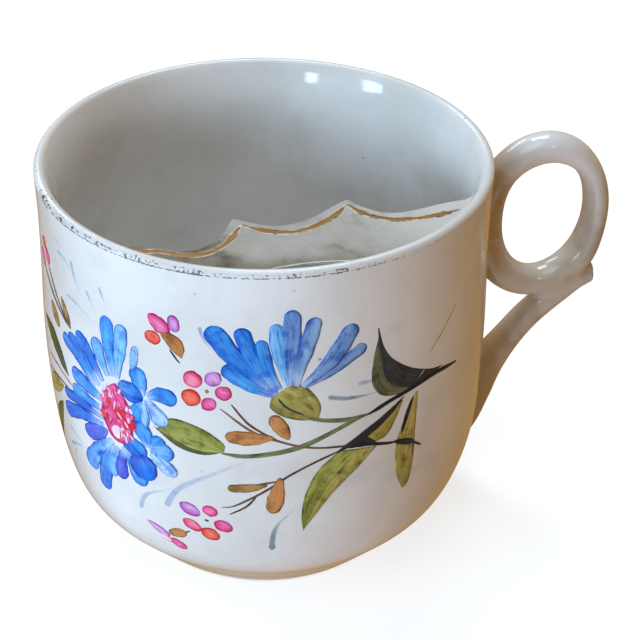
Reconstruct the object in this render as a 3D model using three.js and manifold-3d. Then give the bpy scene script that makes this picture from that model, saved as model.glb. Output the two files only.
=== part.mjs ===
// Moustache cup: a porcelain cup with a scalloped guard inside its rim and a ring handle on a strut.
// Millimetres, +Z up, +X towards the handle, -Y towards the drinker. The origin lies under the middle of the
// whole cup, handle included, on the surface that the cup stands on. Every clay piece was made on its own and
// stuck to the next one with slip, so each joint is a thin piece of fired slip with a small gap on each side.
import * as THREE from "three";
import { mergeVertices } from "three/addons/utils/BufferGeometryUtils.js";
import Module from "manifold-3d";

const wasm = await Module();
wasm.setup();

// ---- driving dimensions ----
const HEIGHT = 86.9; // table to the top of the gilt rim
const GAP = 0.3; // air between a slip joint and each piece that was cut to a curved wall
const SLIP = 0.6; // thickness of a slip joint
const CLEARANCE = GAP + SLIP + GAP; // what the slip keeps between two such pieces
const GILT = 0.3; // stand-in thickness of the fired gold
const TURN_STEPS = 64; // facets round a turned piece
const SECTION_STEPS = 16; // facets round the handle's section
const OUTSIDE_STEPS = 18; // steps up the outside of the wall
const INSIDE_STEPS = 20; // steps down the inside of it

const FOOT_TOP = 2.0;
const FOOT_CONTACT = [28.2, 30.0]; // inner and outer radius of the flat that touches the table
const FOOT_EDGE = 0.5; // height and depth of the foot's eased lower edges
const FOOT_SHOULDER = [27.4, 31.0]; // inner and outer radius at the foot's top
const FOOT_SQUEEZE = 0.2; // what the slip under the body stays back from the foot's edges
const BODY_BOTTOM = FOOT_TOP + SLIP;

const LIP_LAND = [43.4, 44.6]; // inner and outer radius of the flat on top of the lip
const LIP_TOP = HEIGHT - GILT;
const LIP_EDGE = [42.8, 45.2]; // inner and outer radius just under the lip
const LIP_DROP = 1.0; // height of the eased lip above that
const LIP_EASE = [0.3, 0.25]; // width and height of the last step up to the land

const GUARD_TOP = HEIGHT - 5.0;
const GUARD_THICKNESS = 2.6;
const GUARD_TURN = THREE.MathUtils.degToRad(6); // the guard's chord against the handle's plane
const GUARD_REACH = 47; // radius of the guard's blank, trimmed back to the wall
const SIP_HALF_LENGTH = 17; // the opening between the guard and the wall that one drinks through
const SIP_HALF_DEPTH = 8;
const SIP_CENTRE = -43.5;
const LINE_HALF_WIDTH = 0.8; // half the width of the gilt line on the guard

const RING_CENTRE = [60.0, 65.1]; // reach from the cup's axis, and height
const RING_RADII = [12.5, 16.1]; // the oval of the ring's centre line, along X and along Z
const RING_HALF_WIDTH = 3.8; // across the ring's plane
const RING_HALF_THICKNESS = 2.6; // in the ring's plane, at the limb furthest from the wall
const RING_CROWN = 0.55; // what the top and the bottom of the ring are thicker by
const RING_ROOT = 1.2; // what the limb at the wall is thicker by
const RING_CORNERS = [[2.4, 0.5, 1.0], [0.75, 0.4, 0.5]]; // its upper corners: angle, spread, how marked each is
const CORNER_REACH = 0.4; // how far a corner stands out
const CORNER_TRIM = 0.6; // what a corner is slimmer by
const RING_SHOULDER = [-0.75, 0.35]; // the swelling above the spur: angle and spread
const SHOULDER_SWELL = 0.5; // how far it stands out, and what it adds to the half thickness

// Radius and height of the slightly hollow underside, from the axis out to the foot.
const UNDERSIDE = [
  [0, 3.0],
  [24.0, 2.9],
  [26.4, BODY_BOTTOM],
];

// Radius and height of the outside of the wall, from the foot to the lip.
const OUTSIDE = [
  [32.2, BODY_BOTTOM],
  [36.9, 8.2],
  [41.4, 14.0],
  [43.7, 21.0],
  [45.1, 30.5],
  [45.8, 42.0],
  [45.9, 52.5],
  [45.4, 65.5],
  [45.1, 77.0],
  [LIP_EDGE[1], LIP_TOP - LIP_DROP],
];

// Radius and height of the inside of the wall, from the lip down to the middle of the floor.
const INSIDE = [
  [LIP_EDGE[0], LIP_TOP - LIP_DROP],
  [42.4, 78.0],
  [42.7, 66.0],
  [43.1, 52.5],
  [42.9, 41.0],
  [42.1, 30.5],
  [40.4, 21.0],
  [37.2, 13.6],
  [31.5, 8.4],
  [22.0, 6.0],
  [0, 5.4],
];

// The strut's centre line from its spur down to its foot: reach, height, half thickness, half width.
const STRUT_LINE = [
  [72.9, 49.0, 1.8, 2.3],
  [70.0, 47.8, 2.1, 2.8],
  [66.4, 45.6, 2.5, 3.1],
  [62.3, 42.6, 2.7, 3.3],
  [58.7, 39.3, 2.7, 3.4],
  [54.4, 34.1, 2.7, 3.8],
  [50.4, 28.4, 3.4, 4.6],
  [47.2, 22.8, 4.4, 6.0],
  [44.0, 17.0, 4.8, 7.6],
  [40.2, 11.8, 4.2, 8.0],
  [36.2, 8.0, 2.4, 6.5],
];

// The guard's free edge in plan, three scallops that meet in two points.
const GUARD_EDGE = [
  [[-41, -16.0], [-36.5, -16.9], [-30.5, -18.4], [-25, -22], [-20, -22.8], [-15, -19.2], [-11.4, -14.2]],
  [[-11.4, -14.2], [-6.2, -18.8], [-2, -20], [3, -18.8], [8, -16.1], [12.1, -14.1]],
  [[12.1, -14.1], [14, -18], [17.3, -21.5], [22, -22.2], [29, -21.5], [35, -21.5], [40, -21.7]],
];

// The middle of the gilt line, which follows that edge.
const GUARD_LINE = [
  [[-34.6, -20.4], [-28, -21.9], [-23.7, -24.9], [-19.3, -25.6], [-14.9, -23.3], [-10.6, -18.1]],
  [[-10.6, -18.1], [-6.5, -22], [-1.5, -23.6], [5, -21.6], [11.1, -17.1]],
  [[11.1, -17.1], [13.2, -21.8], [18, -25.2], [24, -26.2], [31.2, -25.5]],
];

// ---- geometry helpers ----

// A closed solid of a geometry, for cutting and joining.
function solidOf(geometry) {
  const bare = geometry.clone();
  bare.deleteAttribute("normal");
  bare.deleteAttribute("uv");
  const merged = mergeVertices(bare);
  const corners = merged.index.array;
  const triangles = [];
  for (let i = 0; i < corners.length; i += 3) {
    const [a, b, c] = corners.slice(i, i + 3);
    const collapsed = a === b || b === c || c === a;
    if (!collapsed) triangles.push(a, b, c);
  }
  const mesh = new wasm.Mesh({
    numProp: 3,
    vertProperties: merged.attributes.position.array,
    triVerts: Uint32Array.from(triangles),
  });
  return new wasm.Manifold(mesh);
}

// The geometry of a solid's largest body, so that no crumb of a cut is left.
function geometryOf(solid) {
  const bodies = solid.decompose();
  const largest = bodies.reduce((best, body) => (body.volume() > best.volume() ? body : best));
  const mesh = largest.getMesh();
  const geometry = new THREE.BufferGeometry();
  geometry.setAttribute("position", new THREE.BufferAttribute(mesh.vertProperties, 3));
  geometry.setIndex(new THREE.BufferAttribute(mesh.triVerts, 1));
  geometry.computeVertexNormals();
  return geometry;
}

// A piece turned about the cup's axis from [radius, height] points, in the order that faces outwards.
function turned(points) {
  const profile = points.map(([radius, height]) => new THREE.Vector2(radius, height));
  return new THREE.LatheGeometry(profile, TURN_STEPS).rotateX(Math.PI / 2);
}

function smooth(points, count) {
  const curve = new THREE.SplineCurve(points.map(([x, y]) => new THREE.Vector2(x, y)));
  return curve.getPoints(count).map((point) => [point.x, point.y]);
}

// An outline in plan, from height bottom up to height top.
function plate(outline, bottom, top) {
  const shape = new THREE.Shape(outline.map(([x, y]) => new THREE.Vector2(x, y)));
  const settings = { depth: top - bottom, bevelEnabled: false };
  return new THREE.ExtrudeGeometry(shape, settings).translate(0, 0, bottom);
}

// A skin over rings of points with equal counts. A loop joins its last ring to its first, and a bar is closed
// by a fan of triangles at each end.
function skin(rings, looped) {
  const size = rings[0].length;
  const positions = rings.flat().flatMap((point) => point.toArray());
  const index = [];
  const spans = looped ? rings.length : rings.length - 1;
  for (let i = 0; i < spans; i++) {
    const here = i * size;
    const next = ((i + 1) % rings.length) * size;
    for (let j = 0; j < size; j++) {
      const k = (j + 1) % size;
      index.push(here + j, next + j, next + k, here + j, next + k, here + k);
    }
  }
  if (!looped) {
    const last = (rings.length - 1) * size;
    for (let j = 1; j < size - 1; j++) {
      index.push(0, j, j + 1);
      index.push(last, last + j + 1, last + j);
    }
  }
  const geometry = new THREE.BufferGeometry();
  geometry.setAttribute("position", new THREE.Float32BufferAttribute(positions, 3));
  geometry.setIndex(index);
  return geometry;
}

// An oval section that stands across a line in the XZ plane.
function ovalSection(centre, tangent, halfThickness, halfWidth) {
  const across = new THREE.Vector3(-tangent.z, 0, tangent.x).normalize();
  const ring = [];
  for (let i = 0; i < SECTION_STEPS; i++) {
    const angle = (2 * Math.PI * i) / SECTION_STEPS;
    const point = centre.clone().addScaledVector(across, halfThickness * Math.cos(angle));
    point.y += halfWidth * Math.sin(angle);
    ring.push(point);
  }
  return ring;
}

// A bar or a loop swept through the sections that describe(place) gives, for places from 0 to 1.
function sweep(describe, steps, looped, grow) {
  const count = looped ? steps : steps + 1;
  const rings = [];
  for (let i = 0; i < count; i++) {
    const { centre, tangent, halfThickness, halfWidth } = describe(i / steps);
    rings.push(ovalSection(centre, tangent, halfThickness + grow, halfWidth + grow));
  }
  return solidOf(skin(rings, looped));
}

// ---- the cup's own surfaces, used to trim the pieces that are stuck to it ----

// All that lies within a distance of the outside of the wall.
function outsideSolid(grow) {
  const wall = smooth(OUTSIDE, OUTSIDE_STEPS).map(([radius, height]) => [radius + grow, height]);
  return solidOf(turned([[0, 0], [wall[0][0], 0], ...wall, [wall.at(-1)[0], HEIGHT + 1], [0, HEIGHT + 1]]));
}

// The hollow of the cup, drawn in from its wall by a distance.
function insideSolid(shrink) {
  const down = smooth(INSIDE.slice(0, -1), INSIDE_STEPS);
  const up = down.map(([radius, height]) => [radius - shrink, height]).reverse();
  return solidOf(turned([[0, up[0][1]], ...up, [up.at(-1)[0], HEIGHT + 1], [0, HEIGHT + 1]]));
}

// ---- clay pieces ----

function cupBody() {
  const lip = [
    [LIP_LAND[1] + LIP_EASE[0], LIP_TOP - LIP_EASE[1]],
    [LIP_LAND[1], LIP_TOP],
    [LIP_LAND[0], LIP_TOP],
    [LIP_LAND[0] - LIP_EASE[0], LIP_TOP - LIP_EASE[1]],
  ];
  return turned([...UNDERSIDE, ...smooth(OUTSIDE, OUTSIDE_STEPS), ...lip, ...smooth(INSIDE, INSIDE_STEPS)]);
}

function footRing() {
  const outline = [
    [FOOT_SHOULDER[0], FOOT_TOP],
    [FOOT_CONTACT[0] - FOOT_EDGE, FOOT_EDGE],
    [FOOT_CONTACT[0], 0],
    [FOOT_CONTACT[1], 0],
    [FOOT_CONTACT[1] + FOOT_EDGE, FOOT_EDGE],
    [FOOT_SHOULDER[1], FOOT_TOP],
  ];
  return turned([...outline, outline[0]]);
}

// Points along an ellipse in plan, centred on the cup's middle line.
function ovalArc(centreY, radiusX, radiusY, from, to, steps) {
  const points = [];
  for (let i = 0; i <= steps; i++) {
    const angle = from + ((to - from) * i) / steps;
    points.push([radiusX * Math.cos(angle), centreY + radiusY * Math.sin(angle)]);
  }
  return points;
}

// The guard before it is trimmed to the wall: its scalloped edge, closed by an arc behind the wall.
function guardBlank() {
  const edge = GUARD_EDGE.flatMap((scallop) => smooth(scallop, 12).slice(0, -1));
  const [start, end] = [edge[0], GUARD_EDGE.at(-1).at(-1)];
  const [from, to] = [Math.atan2(end[1], end[0]), Math.atan2(start[1], start[0])];
  const rim = ovalArc(0, GUARD_REACH, GUARD_REACH, from, to, 30);
  const blank = plate([...edge, end, ...rim], GUARD_TOP - GUARD_THICKNESS, GUARD_TOP);
  return solidOf(blank.rotateZ(GUARD_TURN));
}

function sipCutter() {
  const outline = ovalArc(SIP_CENTRE, SIP_HALF_LENGTH, SIP_HALF_DEPTH, 0, 2 * Math.PI, 40).slice(0, -1);
  const margin = 2;
  const cutter = plate(outline, GUARD_TOP - GUARD_THICKNESS - margin, GUARD_TOP + margin);
  return solidOf(cutter.rotateZ(GUARD_TURN));
}

function moustacheGuard() {
  return geometryOf(guardBlank().intersect(insideSolid(CLEARANCE)).subtract(sipCutter()));
}

// A bump of height 1 at the middle angle, dying away over the spread.
function bump(angle, middle, spread) {
  const away = Math.atan2(Math.sin(angle - middle), Math.cos(angle - middle));
  return Math.exp(-((away / spread) ** 2));
}

function ringSolid(grow) {
  const oval = new THREE.EllipseCurve(...RING_CENTRE, ...RING_RADII);
  const describe = (place) => {
    const angle = 2 * Math.PI * place;
    const middle = oval.getPoint(place);
    const tangent = oval.getTangent(place);
    const crown = RING_CROWN * Math.sin(angle) ** 2;
    const root = RING_ROOT * ((1 - Math.cos(angle)) / 2) ** 3;
    let corner = 0;
    for (const [at, spread, weight] of RING_CORNERS) corner += weight * bump(angle, at, spread);
    const shoulder = SHOULDER_SWELL * bump(angle, ...RING_SHOULDER);
    const out = CORNER_REACH * corner + shoulder;
    return {
      centre: new THREE.Vector3(middle.x + out * Math.cos(angle), 0, middle.y + out * Math.sin(angle)),
      tangent: new THREE.Vector3(tangent.x, 0, tangent.y),
      halfThickness: RING_HALF_THICKNESS + crown + root - CORNER_TRIM * corner + shoulder,
      halfWidth: RING_HALF_WIDTH,
    };
  };
  return sweep(describe, 72, true, grow);
}

function strutSolid() {
  const points = STRUT_LINE.map(([reach, height]) => new THREE.Vector3(reach, 0, height));
  const line = new THREE.CatmullRomCurve3(points);
  const size = new THREE.SplineCurve(STRUT_LINE.map((row) => new THREE.Vector2(row[2], row[3])));
  const describe = (place) => {
    const { x: halfThickness, y: halfWidth } = size.getPoint(place);
    return { centre: line.getPoint(place), tangent: line.getTangent(place), halfThickness, halfWidth };
  };
  return sweep(describe, 30, false, 0);
}

function handleRing() {
  return geometryOf(ringSolid(0).subtract(outsideSolid(CLEARANCE)));
}

function handleStrut() {
  const free = strutSolid().subtract(outsideSolid(CLEARANCE));
  return geometryOf(free.subtract(ringSolid(CLEARANCE)));
}

// ---- slip joints ----

function footSlipJoint() {
  const inner = FOOT_SHOULDER[0] + FOOT_SQUEEZE;
  const outer = FOOT_SHOULDER[1] - FOOT_SQUEEZE;
  const outline = [
    [inner, BODY_BOTTOM],
    [inner, FOOT_TOP],
    [outer, FOOT_TOP],
    [outer, BODY_BOTTOM],
  ];
  return turned([...outline, outline[0]]);
}

// The guard's joint on one side of the sip opening: side is -1 for the left end and 1 for the handle's end.
function guardSlipJoint(side) {
  const seam = guardBlank().intersect(insideSolid(GAP)).subtract(insideSolid(GAP + SLIP));
  const size = 2 * HEIGHT;
  const half = new THREE.BoxGeometry(size, size, size).translate((side * size) / 2, 0, HEIGHT);
  return geometryOf(seam.subtract(sipCutter()).intersect(solidOf(half)));
}

// The slip between a piece of the handle and the wall.
function wallSlipJoint(piece) {
  return geometryOf(piece.intersect(outsideSolid(GAP + SLIP)).subtract(outsideSolid(GAP)));
}

function ringToStrutSlipJoint() {
  const free = strutSolid().subtract(outsideSolid(CLEARANCE));
  return geometryOf(free.intersect(ringSolid(GAP + SLIP)).subtract(ringSolid(GAP)));
}

// ---- gilding ----

function rimGiltBand() {
  const ease = 0.1;
  const outline = [
    [LIP_LAND[0], LIP_TOP],
    [LIP_LAND[1], LIP_TOP],
    [LIP_LAND[1] - ease, HEIGHT],
    [LIP_LAND[0] + ease, HEIGHT],
  ];
  return turned([...outline, outline[0]]);
}

// A ribbon of even width along a smooth line in plan.
function ribbon(points) {
  const steps = 14;
  const curve = new THREE.SplineCurve(points.map(([x, y]) => new THREE.Vector2(x, y)));
  const left = [];
  const right = [];
  for (let i = 0; i <= steps; i++) {
    const point = curve.getPoint(i / steps);
    const tangent = curve.getTangent(i / steps);
    left.push([point.x - tangent.y * LINE_HALF_WIDTH, point.y + tangent.x * LINE_HALF_WIDTH]);
    right.push([point.x + tangent.y * LINE_HALF_WIDTH, point.y - tangent.x * LINE_HALF_WIDTH]);
  }
  return plate([...left, ...right.reverse()], GUARD_TOP, GUARD_TOP + GILT).rotateZ(GUARD_TURN);
}

function guardGiltLine() {
  const ribbons = GUARD_LINE.map((points) => solidOf(ribbon(points)));
  return geometryOf(ribbons.reduce((all, one) => all.add(one)));
}

// ---- materials ----

function porcelain() {
  return new THREE.MeshStandardMaterial({ color: 0xe3e4e6, roughness: 0.12, metalness: 0 });
}

function slip() {
  return new THREE.MeshStandardMaterial({ color: 0xd5cdc2, roughness: 0.35, metalness: 0 });
}

function gilding() {
  return new THREE.MeshStandardMaterial({ color: 0xa9843f, roughness: 0.4, metalness: 0.9 });
}

// ---- assembly ----

const cup = new THREE.Group();

function add(name, geometry, material) {
  const mesh = new THREE.Mesh(geometry, material);
  mesh.name = name;
  cup.add(mesh);
}

add("cup_body", cupBody(), porcelain());
add("foot_ring", footRing(), porcelain());
add("foot_slip_joint", footSlipJoint(), slip());
add("moustache_guard", moustacheGuard(), porcelain());
add("guard_slip_joint_left", guardSlipJoint(-1), slip());
add("guard_slip_joint_right", guardSlipJoint(1), slip());
add("handle_ring", handleRing(), porcelain());
add("ring_slip_joint", wallSlipJoint(ringSolid(0)), slip());
add("handle_strut", handleStrut(), porcelain());
add("strut_slip_joint", wallSlipJoint(strutSolid()), slip());
add("ring_to_strut_slip_joint", ringToStrutSlipJoint(), slip());
add("rim_gilt_band", rimGiltBand(), gilding());
add("guard_gilt_line", guardGiltLine(), gilding());

// The cup's axis is moved so that the middle of the whole cup stands over the origin.
const middle = new THREE.Box3().setFromObject(cup).getCenter(new THREE.Vector3());
cup.position.set(-middle.x, -middle.y, 0);

const part = new THREE.Group();
part.add(cup);

export default part;
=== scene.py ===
"""A moustache cup of glazed white porcelain with a painted flower spray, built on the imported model.

Lengths in this script are millimetres in the cup's own frame, with its axis at x = y = 0 and the table at
z = 0. deliver() turns them into metres in the row frame. Painted marks are placed by (around, up): around is
the distance along the wall from the line that faces -Y, positive towards the handle, and up is the height.
"""

import math
import random

import bpy
import numpy as np
from mathutils import Matrix, Vector


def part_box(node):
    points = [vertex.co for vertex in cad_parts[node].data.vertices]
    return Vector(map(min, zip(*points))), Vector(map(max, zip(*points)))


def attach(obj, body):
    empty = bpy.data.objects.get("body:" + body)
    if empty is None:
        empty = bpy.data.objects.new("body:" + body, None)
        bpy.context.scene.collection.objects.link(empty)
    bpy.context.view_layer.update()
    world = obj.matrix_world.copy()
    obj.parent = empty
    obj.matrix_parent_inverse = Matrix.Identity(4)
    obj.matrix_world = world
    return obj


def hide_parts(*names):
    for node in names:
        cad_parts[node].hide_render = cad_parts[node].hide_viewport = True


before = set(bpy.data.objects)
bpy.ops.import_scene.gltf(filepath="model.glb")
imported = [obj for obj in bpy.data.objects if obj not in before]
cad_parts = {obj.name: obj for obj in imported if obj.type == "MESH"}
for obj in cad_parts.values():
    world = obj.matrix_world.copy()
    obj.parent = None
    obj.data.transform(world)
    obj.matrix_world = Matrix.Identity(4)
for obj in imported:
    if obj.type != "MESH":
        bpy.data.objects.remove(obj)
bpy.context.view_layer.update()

MM = 0.001
BODY_LOW, BODY_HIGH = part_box("cup_body")
AXIS_X = (BODY_LOW.x + BODY_HIGH.x) / 2  # the cup's axis in the row frame, in metres
HEIGHT = 86.9
TINY = 1e-6
dice = random.Random(1880)

# The walls, as (radius, height).
OUTSIDE = [(32.2, 2.6), (36.9, 8.2), (41.4, 14.0), (43.7, 21.0), (45.1, 30.5), (45.8, 42.0), (45.9, 52.5),
           (45.4, 65.5), (45.1, 77.0), (45.2, 85.4)]
LIP = [(45.2, 85.4), (45.12, 86.2), (44.7, 86.72), (44.0, 86.85), (43.3, 86.5), (42.6, 85.3)]
INSIDE = [(42.6, 85.3), (41.9, 83.4), (41.3, 81.2), (40.95, 79.0), (40.9, 76.0), (41.3, 72.0), (42.2, 65.0),
          (42.8, 54.0), (42.9, 41.0), (42.1, 30.5), (40.4, 21.0), (37.2, 13.6), (31.5, 8.4), (22.0, 6.0),
          (0.0, 5.4)]
UNDERSIDE = [(32.2, 2.6), (26.0, 2.7), (14.0, 3.0), (0.0, 3.0)]
FOOT = [(31.6, 3.6), (31.1, 2.8), (30.9, 2.0), (30.6, 1.0), (30.2, 0.3), (29.7, 0.0), (28.6, 0.0),
        (28.0, 0.4), (27.5, 1.6), (27.0, 2.8), (26.4, 3.6)]
FOOT_CROWN = (29.0, 4.0)  # the top of the foot, hidden in the body
WALL_AROUND = 45.8  # the radius at which distances around the wall are measured
SIDES = 288  # facets round a turned piece
CURVE_STEPS = 24  # steps from one given point of a curve to the next

# How far the belly stands out at its fullest, how far the round is out of true, and how far the rim dips.
FULLER, OUT_OF_ROUND, DIP = 0.7, 0.12, 0.45

# The handle: an oval ring, and a strut from the spur at the ring's foot down to the wall.
RING_CENTRE, RING_RADII, RING_HALF_WIDTH = (60.0, 65.1), (12.5, 16.1), 3.8
RING_HALF_THICKNESS = 2.6  # at the limb furthest from the wall
RING_CROWN, RING_ROOT = 0.55, 1.2  # what it is thicker by at its top and bottom, and at the wall
CORNER_TRIM, CORNER_REACH = 0.6, 0.4  # what an upper corner is slimmer by, and how far it stands out
SHOULDER = 0.5  # the swelling above the spur
SPUR_END = 73.3
STRUT_LINE = [(73.8, 49.2, 1.9, 2.3), (70.0, 47.8, 2.1, 2.8), (66.4, 45.6, 2.5, 3.1), (62.3, 42.6, 2.7, 3.3),
              (58.7, 39.3, 2.7, 3.4), (54.4, 34.1, 2.7, 3.8), (50.4, 28.4, 3.4, 4.6), (47.2, 22.8, 4.4, 6.0),
              (44.0, 17.0, 4.8, 7.6), (40.2, 11.8, 4.2, 8.0), (36.2, 8.0, 2.4, 6.5)]
RING_FILLET, HANDLE_FILLET, SPUR_ROUNDING = 3.0, 2.2, 0.3
HANDLE_BITE, HANDLE_SKIRT = 1.3, 6.0  # how deep its skin reaches into the wall, and how far it spreads on it
HANDLE_BOX, HANDLE_STEP = ((33, -12, 3), (80, 12, 88)), 0.42  # the grid that its skin is found in
SKIN_SINK = 0.03  # how far a skin lies under the wall's surface where it runs out

# The guard: three scallops along its free edge, and the gilt line inside them.
GUARD_TOP, GUARD_THICKNESS, GUARD_TURN = 81.9, 2.6, math.radians(6)
SIP_HALF_LENGTH, SIP_HALF_DEPTH, SIP_CENTRE = 17.0, 8.0, -43.5
GUARD_EDGE = [[(-47, -15.2), (-41, -16), (-36.5, -16.9), (-30.5, -18.4), (-25, -22), (-20, -22.8),
               (-15, -19.2), (-11.4, -14.2)],
              [(-11.4, -14.2), (-6.2, -18.8), (-2, -20), (3, -18.8), (8, -16.1), (12.1, -14.1)],
              [(12.1, -14.1), (14, -18), (17.3, -21.5), (22, -22.2), (29, -21.5), (35, -21.5), (47, -21.9)]]
GUARD_LINE = [[(-34.6, -20.4), (-28, -21.9), (-23.7, -24.9), (-19.3, -25.6), (-14.9, -23.3), (-10.6, -18.1)],
              [(-10.6, -18.1), (-6.5, -22), (-1.5, -23.6), (5, -21.6), (11.1, -17.1)],
              [(11.1, -17.1), (13.2, -21.8), (18, -25.2), (24, -26.2), (31.2, -25.5)]]
GUARD_FILLET, EDGE_ROUNDING, SIP_ROUNDING = 1.8, 1.15, 1.0
GUARD_BITE, GUARD_SKIRT = 1.2, 2.4
GUARD_BOX, GUARD_STEP = ((-45, -45, 74), (45, -8, 87)), 0.36
LINE_HALF_WIDTH = 0.8


# ---- curves ----

def through(points, count):
    """A smooth curve through the points, as that many rows evenly spaced along it."""
    given = np.array(points, float)
    padded = np.vstack([2 * given[0] - given[1], given, 2 * given[-1] - given[-2]])
    step = np.linspace(0, 1, CURVE_STEPS, endpoint=False)[:, None]
    parts = []
    for before, start, end, after in zip(padded, padded[1:], padded[2:], padded[3:]):
        parts.append(0.5 * (2 * start + (end - before) * step
                            + (2 * before - 5 * start + 4 * end - after) * step ** 2
                            + (3 * start - before - 3 * end + after) * step ** 3))
    dense = np.vstack(parts + [given[-1:]])
    reach = np.concatenate([[0], np.cumsum(np.linalg.norm(np.diff(dense[:, :2], axis=0), axis=1))])
    at = np.linspace(0, reach[-1], count)
    return np.stack([np.interp(at, reach, column) for column in dense.T], 1)


def turned(points, angle):
    """Points (x, y) turned about the cup's axis."""
    x, y = np.array(points, float).T
    sine, cosine = math.sin(angle), math.cos(angle)
    return np.stack([x * cosine - y * sine, x * sine + y * cosine], 1)


def sideways_of(line):
    """Unit vectors square to a line of (a, b) rows, to the left of the way it runs."""
    ahead = np.gradient(line, axis=0)
    ahead /= np.maximum(np.linalg.norm(ahead, axis=1), TINY)[:, None]
    return np.stack([-ahead[:, 1], ahead[:, 0]], 1)


def smooth_step(low, high, value):
    """0 at low, 1 at high and smooth between them."""
    t = np.clip((value - low) / (high - low), 0, 1)
    return t * t * (3 - 2 * t)


def hump(value, middle, spread):
    """1 at the middle, and close to 0 at two spreads from it."""
    return np.exp(-((value - middle) / spread) ** 2)


OUTER_CURVE = through(OUTSIDE, 160)
INNER_CURVE = through(INSIDE, 160)


def outer_radius(z):
    return np.interp(z, OUTER_CURVE[:, 1], OUTER_CURVE[:, 0])


def inner_radius(z):
    return np.interp(z, INNER_CURVE[::-1, 1], INNER_CURVE[::-1, 0])


def hand_made(points):
    """The slight unevenness of a hand-finished cup, the same for everything that is on it."""
    x, y, z = points.T
    angle = np.arctan2(x, -y)
    radius = np.hypot(x, y)
    fuller = FULLER * hump(angle, 1.25, 0.6) * hump(z, 27, 13)
    flatter = OUT_OF_ROUND * np.cos(2 * (angle - 0.6)) * z / 87
    scale = 1 + (fuller + flatter) * np.clip(radius / 45, 0, 1) / np.maximum(radius, 1)
    dip = DIP * hump(angle, -0.9, 0.9) * smooth_step(50, 87, z) * smooth_step(20, 43, radius)
    return np.stack([x * scale, y * scale, z - dip], 1)


# ---- meshes ----

def add_object(name, data):
    made = bpy.data.objects.new(name, data)
    bpy.context.scene.collection.objects.link(made)
    return made


def deliver(name, points, faces, look, stands_for=(), marks=None):
    """Makes the piece in the row frame, with its material, the CAD nodes that it stands for, and
    its mesh attributes."""
    placed = hand_made(np.asarray(points, float)) * MM
    placed[:, 0] += AXIS_X
    mesh = bpy.data.meshes.new(name)
    mesh.from_pydata(placed.tolist(), [], faces)
    mesh.validate()
    mesh.shade_smooth()
    kinds = {1: ("FLOAT", "value"), 3: ("FLOAT_VECTOR", "vector"), 4: ("FLOAT_COLOR", "color")}
    for label, values in (marks or {}).items():
        kind, field = kinds[values.size // len(placed)]
        layer = mesh.attributes.new(label, kind, "POINT")
        layer.data.foreach_set(field, values.astype(np.float32).ravel())
    piece = add_object(name, mesh)
    piece.data.materials.append(look)
    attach(piece, "root")
    if stands_for:
        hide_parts(*stands_for)


def lathe(profile, closed):
    """Points and faces of a profile of (radius, height) turned about the axis, faces out when it runs up the
    inside and down the outside. A closed profile joins its last row to its first."""
    angles = np.arange(SIDES) * 2 * math.pi / SIDES
    points, rings, faces = [], [], []
    for radius, height in profile:
        count = SIDES if radius > TINY else 1
        rings.append([len(points) + i % count for i in range(SIDES)])
        points += [(radius * math.sin(a), -radius * math.cos(a), height) for a in angles[:count]]
    for low, high in zip(rings, rings[1:] + rings[:closed]):
        for i in range(SIDES):
            j = (i + 1) % SIDES
            corners = (low[i], low[j], high[j], high[i])
            faces.append(tuple(dict.fromkeys(corners)))  # a triangle where two corners are one point
    return points, faces


def skin(field, low, high, step):
    """The closed skin where field is zero, inside the box: a point in every grid cell that the skin crosses,
    a quad across every grid edge that it crosses, and then every point pulled on to the true surface."""
    axes = [np.arange(a, b + step, step) for a, b in zip(low, high)]
    value = field(axes[0][:, None, None], axes[1][None, :, None], axes[2][None, None, :])
    inside = value < 0
    shape = np.array(value.shape) - 1
    corners = [(i, j, k) for i in (0, 1) for j in (0, 1) for k in (0, 1)]
    wide, deep, tall = shape
    filled = sum(inside[i:i + wide, j:j + deep, k:k + tall].astype(np.int8) for i, j, k in corners)
    cells = np.argwhere((filled > 0) & (filled < len(corners)))
    number = np.full(shape, -1)
    number[tuple(cells.T)] = np.arange(len(cells))
    total, hits = np.zeros((len(cells), 3)), np.zeros(len(cells))
    units = np.eye(3, dtype=int)
    for corner in corners:
        for axis in range(3):
            if corner[axis]:
                continue
            here = value[tuple((cells + corner).T)]
            there = value[tuple((cells + corner + units[axis]).T)]
            crossed = (here < 0) != (there < 0)
            part = np.where(crossed, here / np.where(crossed, here - there, 1), 0)
            total += crossed[:, None] * (np.array(corner) + part[:, None] * units[axis])
            hits += crossed
    points = np.array([a[0] for a in axes]) + (cells + total / hits[:, None]) * step
    faces = []
    for axis in range(3):
        first = np.take(inside, range(shape[axis]), axis)
        second = np.take(inside, range(1, shape[axis] + 1), axis)
        nodes = np.argwhere(first != second)
        side, other = (axis + 1) % 3, (axis + 2) % 3
        beside = nodes[:, [side, other]]
        nodes = nodes[(beside > 0).all(1) & (beside < shape[[side, other]]).all(1)]
        back, down = units[side], units[other]
        around = (nodes - back - down, nodes - down, nodes, nodes - back)
        quads = np.stack([number[tuple(cell.T)] for cell in around], 1)
        outward = first[tuple(nodes.T)]
        faces.append(np.where(outward[:, None], quads, quads[:, ::-1]))
    faces = np.vstack(faces)
    return settle(points, faces, field, step), faces.tolist()


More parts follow.
